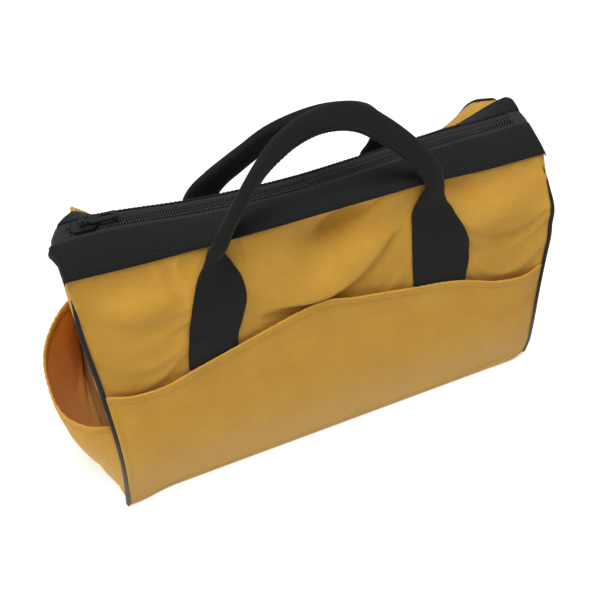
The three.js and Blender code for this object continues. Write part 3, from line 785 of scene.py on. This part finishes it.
def pouch(name, side, node):
    columns, rows = 56, 30
    across = np.tile(np.linspace(-1, 1, columns + 1), (rows + 1, 1))
    share = np.tile(np.linspace(0, 1, rows + 1)[:, None], (1, columns + 1))
    facing = (side, 0, 0)
    piece = grid_sheet(name, pouch_point(side, across, share), cotton_canvas, facing)
    sewn = sewn_edges(rows, columns)
    sewn[-1, :] = 0.5
    settle(piece, sewn.ravel(), growth=0.016, push=0.5, weight=0.7, limit=3.0)
    hem(name, faced_grid(piece, rows, columns, facing), facing)
    thicken(piece, canvas)
    dress(piece, "root", "canvas", node)


for word, side in both_ends:
    pouch(f"{word}_end_pouch", side, f"{word}_end_pocket")


# Base


def base_sheet():
    radius, steps = 10.0, 8
    corner = np.linspace(0, math.pi / 2, steps)
    outline = []
    for quarter, (sx, sy) in enumerate(((1, 1), (-1, 1), (-1, -1), (1, -1))):
        turn = corner + quarter * math.pi / 2
        outline += list(zip(sx * (half_length - 1 - radius) + radius * np.cos(turn),
                            sy * (base_half - 1 - radius) + radius * np.sin(turn)))
    outline = np.array(outline)
    rings = []
    for inset, z in ((3.6, 0.0), (2.6, 0.5), (2.2, 1.4), (2.2, 2.6)):
        shrink = 1 - inset / np.array([half_length, base_half])
        rings.append(np.column_stack([outline * shrink, np.full(len(outline), z)]))
    return sweep("base_canvas", np.array(rings), cotton_canvas)


dress(base_sheet(), "root", "canvas", "base_panel")


# The top: webbing bands, zip tape and coil, each in a left and a right half

band_inner = 11.0
band_over, band_fold = 1.4, 2.6
band_lump = 3.8
band_overlap = 0.6

# Sections, each once round: the band's as share of its width and lift, the tape's as distance from the
# middle of the bag and lift off the zip's line, the tab's as share of its half width and lift
band_section = [(-0.02, -0.6), (-0.035, 0.4), (-0.02, 1.4), (0.02, 1.9), (0.2, 1.9), (0.4, 1.9), (0.6, 1.9),
                (0.8, 1.9), (0.97, 1.9), (1.0, 1.5), (1.005, 0.9), (0.98, 0.2), (0.8, 0.1), (0.5, 0.1),
                (0.2, 0.1), (0.03, 0.0)]
tape_edge = 13.0
tape_section = [(0.3, -0.9), (3.0, -1.0), (5.4, -0.7), (6.2, 0.1), (8.0, 0.35), (10.6, 0.1),
                (tape_edge, -0.3), (tape_edge, -0.9), (10.0, -0.7), (7.0, -0.9), (5.0, -1.6), (2.5, -1.9),
                (0.3, -1.8)]
tab_section = [(-1, -0.5), (-0.97, 0.1), (-0.7, 0.6), (0, 0.9), (0.7, 0.6), (0.97, 0.1), (1, -0.5),
               (0.9, -0.9), (0, -0.7), (-0.9, -0.9)]


def blend_half(piece):
    """Bakes a half of the top's placement into its mesh."""
    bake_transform(piece)


def top_frame(wall, x):
    """Seam point, inner point, unit vector from seam to zip and unit normal of a band at x."""
    side = wall["side"]
    reach, height = seam(wall, x)
    start = np.stack([x, side * (reach + 1.0), height - 0.4], axis=-1)
    end = np.stack([x, np.full_like(x, side * band_inner), through(zip_line, x) - 0.2], axis=-1)
    inward = end - start
    width = np.linalg.norm(inward, axis=-1, keepdims=True)
    inward = inward / width
    normal = np.stack([np.zeros_like(x), side * inward[:, 2], np.abs(inward[:, 1])], axis=-1)
    return start, width, inward, normal


def band_point(wall, x, share, lift):
    """A point of a band: share runs from its seam to the zip, and lift is above its underside. At the
    front's left end the webbing stands out in a soft lump."""
    side = wall["side"]
    hump = smooth_step(share, 0.48, 0.78) * (1 - smooth_step(share, 0.92, 1.04))
    start, width, inward, normal = top_frame(wall, x)
    crown = 1.6 * math.sin(math.pi * min(1, max(0, share)))
    turned_down = np.zeros((len(x), 3))
    turned_down[:, 2] = -band_fold * smooth_step(np.abs(x), half_length - 0.5, half_length + band_over) ** 1.5
    standing_out = np.zeros((len(x), 3))
    if side < 0:
        standing_out[:, 0] = -band_lump * smooth_step(-x, half_length - 8, half_length) * hump
    return start + inward * width * share + normal * (lift + crown) + turned_down + standing_out


def band(word, wall, half, side):
    x = side * np.concatenate([np.linspace(-band_overlap, half_length - 2, 84),
                               half_length + band_over * np.linspace(-0.5, 1, 6)])
    ring = [band_point(wall, x, share, lift) for share, lift in band_section]
    piece = sweep(f"{word}_band_{half}", np.stack(ring, axis=1), cotton_webbing)
    dress(piece, None, "webbing", f"{word}_band")
    blend_half(piece)
    rows = [(band_point(wall, x[1:-2], share, 1.95), (0, 0, 1)) for share in (0.09, 0.93)]
    stitches = stitching(f"{word}_band_{half}_stitches", rows, black_thread)
    dress(stitches, None, "webbing")
    blend_half(stitches)


coil_centre, coil_half_width, coil_half_height = 2.6, 2.9, 1.25
coil_pitch, coil_wire = 2.0, 0.58
coil_reach, tape_reach = half_length - 9, half_length - 4


def zip_tape(word, wall, half, side):
    x = side * np.linspace(0.0, tape_reach, 80)
    z = through(zip_line, x)
    ring = [np.stack([x, np.full_like(x, wall["side"] * y), z + lift], axis=-1) for y, lift in tape_section]
    piece = sweep(f"{word}_zip_tape_{half}", np.stack(ring, axis=1), polyester_tape)
    dress(piece, None, "zip_tape", f"{word}_zip_tape")
    blend_half(piece)


def zip_coil(word, wall, half, side):
    turns = coil_reach / coil_pitch
    steps = 10
    angle = np.linspace(0, 2 * math.pi * turns, int(turns * steps) + 1)
    shift = 0 if wall["side"] < 0 else 0.5 * coil_pitch
    x = side * (shift + coil_pitch * angle / (2 * math.pi))
    y = wall["side"] * (coil_centre + coil_half_width * np.cos(angle))
    z = through(zip_line, x) + coil_half_height * np.sin(angle)
    wire = tube_rings(np.stack([x, y, z], axis=1), coil_wire, 5)
    piece = sweep(f"{word}_zip_coil_{half}", wire, nylon_coil)
    dress(piece, None, "zip_coil", f"{word}_zip_coil")
    blend_half(piece)


for word, wall, body in (("front", front_wall, "front_top"), ("back", back_wall, "back_top")):
    for half, side in both_ends:
        band(word, wall, half, side)
        zip_tape(word, wall, half, side)
        zip_coil(word, wall, half, side)


# Tabs that cover the zip's ends and fold down over the end panels

tab_half_width, tab_taper = 13.6, 3.4


def zip_tab(name, side, node):
    ridge = float(through(zip_line, side * half_length))
    route = [(side * (half_length - 11), ridge + 0.3), (side * (half_length - 4), ridge + 0.4),
             (side * (half_length + 0.5), ridge - 0.3), (side * (half_length + 2.4), ridge - 3.5),
             (side * (half_length + 2.6), ridge - 8), (side * (half_length + 2.0), ridge - 14)]
    path = resample([(x, 0, z) for x, z in route], 1.0)
    run = np.linspace(0, 1, len(path))
    kernel = np.ones(5) / 5
    for k in (0, 2):
        path[2:-2, k] = np.convolve(path[:, k], kernel, "same")[2:-2]
    tangent = np.gradient(path, axis=0)
    tangent /= np.linalg.norm(tangent, axis=1)[:, None]
    normal = np.stack([-tangent[:, 2], np.zeros(len(path)), tangent[:, 0]], axis=1) * side
    half_width = tab_half_width - tab_taper * smooth_step(run, 0.4, 1)
    sideways = np.array([0, 1, 0]) * half_width[:, None]
    ring = [path + normal * lift + share * sideways for share, lift in tab_section]
    piece = sweep(name, np.stack(ring, axis=1), polyester_tape)
    dress(piece, "root", "zip_tape", node)


for word, side in both_ends:
    zip_tab(f"{word}_zip_tab_fold", side, f"{word}_zip_tab")


# Handle webbing


def on_wall(wall, tail):
    """A tail's stations in space, each standing a little proud of the wall that it lies on."""
    return [(x, wall["side"] * (float(reach_at(wall, x, z)) + lift), z, width, thickness, roll)
            for x, z, width, thickness, lift, roll in tail]


def stations_along(rows, count):
    """Evenly spread stations on a smooth curve through given ones, every column eased alike."""
    rows = np.asarray(rows, float)
    run = np.concatenate([[0], np.cumsum(np.linalg.norm(np.diff(rows[:, :3], axis=0), axis=1))])
    places = np.linspace(0, run[-1], count)
    return np.column_stack([between(run, column, places) for column in rows.T]), places


def handle(name, wall, rows, nodes):
    side = wall["side"]
    whole, places = stations_along(rows, 460)
    centre, width, thickness, roll = whole[:, :3], whole[:, 3], whole[:, 4], np.radians(whole[:, 5])
    along = np.gradient(centre, axis=0)
    along /= np.linalg.norm(along, axis=1)[:, None]
    tilt = np.radians(np.interp(centre[:, 2], [140, 195, 235, 270], [11, 14, 30, 32]))
    outward = np.column_stack([0 * tilt, side * np.cos(tilt), np.sin(tilt)])
    outward -= along * np.sum(outward * along, axis=1)[:, None]
    outward /= np.linalg.norm(outward, axis=1)[:, None]
    across = np.cross(outward, along)
    cos_roll, sin_roll = np.cos(roll)[:, None], np.sin(roll)[:, None]
    across, outward = across * cos_roll + outward * sin_roll, outward * cos_roll - across * sin_roll
    folded = smooth_step(thickness, 4, 9)
    flat = 1 - smooth_step(thickness, 3, 6.5)
    rest = side * centre[:, 1] - reach_at(wall, centre[:, 0], centre[:, 2])
    wave = scallop_depth * np.abs(np.sin(math.pi * places / scallop_pitch)) * folded

    def line_at(angle):
        """A line along the handle at an angle round its section."""
        cos, sin = math.cos(angle), math.sin(angle)
        sewn_side = cos * side > 0
        power = 0.42 + folded * (0.62 if sewn_side else 0.25)
        reach = math.copysign(1, cos) * np.abs(cos) ** power * width / 2
        lift = math.copysign(1, sin) * np.abs(sin) ** power * thickness / 2
        if sewn_side:
            reach = reach + side * wave * abs(cos) ** 3
        line = centre + across * reach[:, None] + outward * lift[:, None]
        lying = side * (reach_at(wall, line[:, 0], line[:, 2]) + rest + lift)
        line[:, 1] += flat * (lying - line[:, 1])
        return line

    ring = [line_at(angle) for angle in np.linspace(0, 2 * math.pi, 28, endpoint=False)]
    piece = sweep(name, np.stack(ring, axis=1), cotton_webbing)
    dress(piece, None, "webbing", *nodes)
    blend_handle(piece)
    held = folded > 0.95
    seam_angle = math.radians(38 if side > 0 else 142)
    row = (line_at(seam_angle)[held], outward[held].mean(axis=0))
    thread = stitching(f"{name}_stitches", [row], black_thread)
    dress(thread, None, "webbing")
    blend_handle(thread)


def blend_handle(piece):
    """Bakes the webbing's placement into its mesh."""
    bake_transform(piece)


handle("front_handle_webbing", front_wall,
       on_wall(front_wall, front_left_tail) + front_grip + on_wall(front_wall, front_right_tail),
       ["front_handle", "front_left_tail", "front_right_tail"])
handle("back_handle_webbing", back_wall,
       on_wall(back_wall, back_left_tail) + back_grip + on_wall(back_wall, back_right_tail),
       ["back_handle", "back_left_tail", "back_right_tail"])


def tail_stitches(word, wall, tails):
    """Two lines of stitches across each tail, one just under the hinge and one near its bottom."""
    side = wall["side"]
    lines = []
    for tail in tails:
        heights, middles, widths = tail_rows(tail)
        for z in (stitch_height - 2.5, tail_bottom + 4):
            middle = np.interp(z, heights, middles)
            half = np.interp(z, heights, widths) / 2 - tail_margin
            x = middle + np.linspace(-half, half, 12)
            y = side * (reach_at(wall, x, np.full_like(x, z)) + 2.7)
            lines.append((np.column_stack([x, y, np.full_like(x, z)]), (0, side, 0)))
    dress(stitching(f"{word}_tail_stitches", lines, black_thread), "root", "webbing")


tail_stitches("front", front_wall, handle_tails[-1])
tail_stitches("back", back_wall, handle_tails[1])


# Frame nodes that keep their own shape

for name, finish, edge in (("zip_slider", painted_zinc, 0.35), ("zip_pull", painted_zinc, 0.3),
                           ("base_board", fibre_board, 0.4)):
    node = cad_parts[name]
    node.data.materials.clear()
    node.data.materials.append(finish)
    bevel = node.modifiers.new("edges", "BEVEL")
    bevel.width = edge * MM
    bevel.segments = 2
    bevel.limit_method = "ANGLE"


# Floor, light and camera


def floor():
    material, tree = new_material("studio_paper")
    rays = add(tree, "ShaderNodeLightPath")
    seen = add(tree, "ShaderNodeMath", {0: rays.outputs["Is Camera Ray"], 1: rays.outputs["Is Glossy Ray"]},
               operation="MAXIMUM")
    seen = add(tree, "ShaderNodeMath", {0: seen.outputs[0], 1: rays.outputs["Is Transmission Ray"]},
               operation="MAXIMUM")
    paper = add(tree, "ShaderNodeBsdfDiffuse", {"Color": (0.9, 0.9, 0.9, 1)})
    place = add(tree, "ShaderNodeTexCoord").outputs["Object"]
    distance = add(tree, "ShaderNodeVectorMath", {0: place}, operation="LENGTH")
    fill = add(tree, "ShaderNodeMapRange", {
        "Value": distance.outputs["Value"], "From Min": 0.35, "From Max": 1.2, "To Min": 0.5, "To Max": 0.8,
    })
    glow_level = add(tree, "ShaderNodeMath", {0: seen.outputs[0], 1: fill.outputs[0]},
                     operation="MULTIPLY")
    glow = add(tree, "ShaderNodeEmission", {"Color": (1, 1, 1, 1), "Strength": glow_level.outputs[0]})
    both = add(tree, "ShaderNodeAddShader", {0: paper.outputs[0], 1: glow.outputs[0]})
    add(tree, "ShaderNodeOutputMaterial", {"Surface": both.outputs[0]})
    size = 4000.0
    corners = [(-size, -size, -0.3), (size, -size, -0.3), (size, size, -0.3), (-size, size, -0.3)]
    sheet = make_mesh("floor", corners, [[0, 1, 2, 3]], [material], slump=False)


def softbox(name, place, size, share):
    """A square lamp that faces the bag and gives it a share of full level."""
    lamp = bpy.data.lights.new(name, "AREA")
    lamp.shape = "SQUARE"
    lamp.size = size
    holder = bpy.data.objects.new(name, lamp)
    holder.location = place
    lamp.energy = share * math.pi**2 * Vector(place).length_squared
    holder.rotation_mode = "QUATERNION"
    holder.rotation_quaternion = Vector(place).to_track_quat("Z", "Y")
    bpy.context.scene.collection.objects.link(holder)


def light_the_scene():
    world = bpy.data.worlds.new("studio")
    bpy.context.scene.world = world
    world.use_nodes = True
    tree = world.node_tree
    tree.nodes.clear()
    rays = add(tree, "ShaderNodeLightPath")
    seen = add(tree, "ShaderNodeMath", {
        0: rays.outputs["Is Camera Ray"], 1: rays.outputs["Is Transmission Ray"],
    }, operation="MAXIMUM")
    level = add(tree, "ShaderNodeMapRange", {"Value": seen.outputs[0], "To Min": 0.25, "To Max": 1.0})
    sky = add(tree, "ShaderNodeBackground", {"Color": (1, 1, 1, 1), "Strength": level.outputs[0]})
    add(tree, "ShaderNodeOutputWorld", {"Surface": sky.outputs[0]})
    softbox("overhead_softbox", (-0.05, -0.3, 2.0), 1.2, 0.69)
    softbox("left_softbox", (-1.7, -0.5, 0.9), 1.2, 0.28)


def place_camera():
    azimuth, elevation, distance = math.radians(-24.9), math.radians(41.3), 703.8
    target = Vector((3.04, 16.3, 64.8))
    back = Vector((math.sin(azimuth) * math.cos(elevation), -math.cos(azimuth) * math.cos(elevation),
                   math.sin(elevation)))
    data = bpy.data.cameras.new("camera")
    data.sensor_width = 36
    data.lens = 45
    data.clip_start = 0.01
    data.clip_end = 50
    camera = bpy.data.objects.new("camera", data)
    camera.location = (target + back * distance) * MM
    camera.rotation_mode = "QUATERNION"
    camera.rotation_quaternion = back.to_track_quat("Z", "Y")
    bpy.context.scene.collection.objects.link(camera)
    bpy.context.scene.camera = camera


floor()
light_the_scene()
place_camera()
bpy.context.scene.view_settings.view_transform = "Standard"
